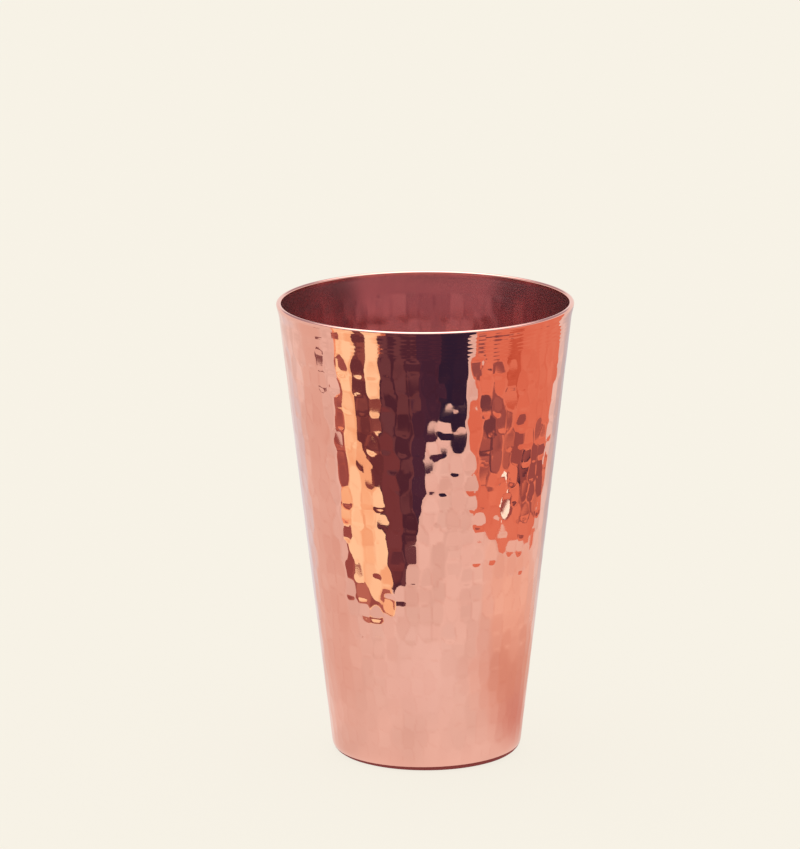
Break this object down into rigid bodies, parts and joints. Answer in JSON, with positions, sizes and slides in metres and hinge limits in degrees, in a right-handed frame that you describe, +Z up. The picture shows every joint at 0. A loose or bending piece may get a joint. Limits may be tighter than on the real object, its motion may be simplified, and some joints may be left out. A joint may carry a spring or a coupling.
{
  "type": "hammered copper bar cup",
  "caption": "Tall tapered hammered-copper bar cup with a smooth rounded lip, a plain band under it and a flat foot; an open vessel for measuring, mixing or serving drinks.",
  "frame": {"origin": "on the cup's axis, in the plane that its foot stands on", "axes": "+Z up along the cup's axis, towards the mouth; the cup is round, so +X and +Y are free"},
  "size_m": [0.089, 0.089, 0.1383],
  "materials": {
    "hammered_copper": "polished bare copper, hand-planished all over below a smooth band under the lip",
    "base_copper": "satin bare copper with fine turning rings",
    "braze": "satin silver-brazing alloy, wiped smooth"
  },
  "bodies": {
    "root": {"cup_wall": "hammered_copper", "base_disc": "base_copper", "base_braze": "braze"}
  },
  "joints": []
}
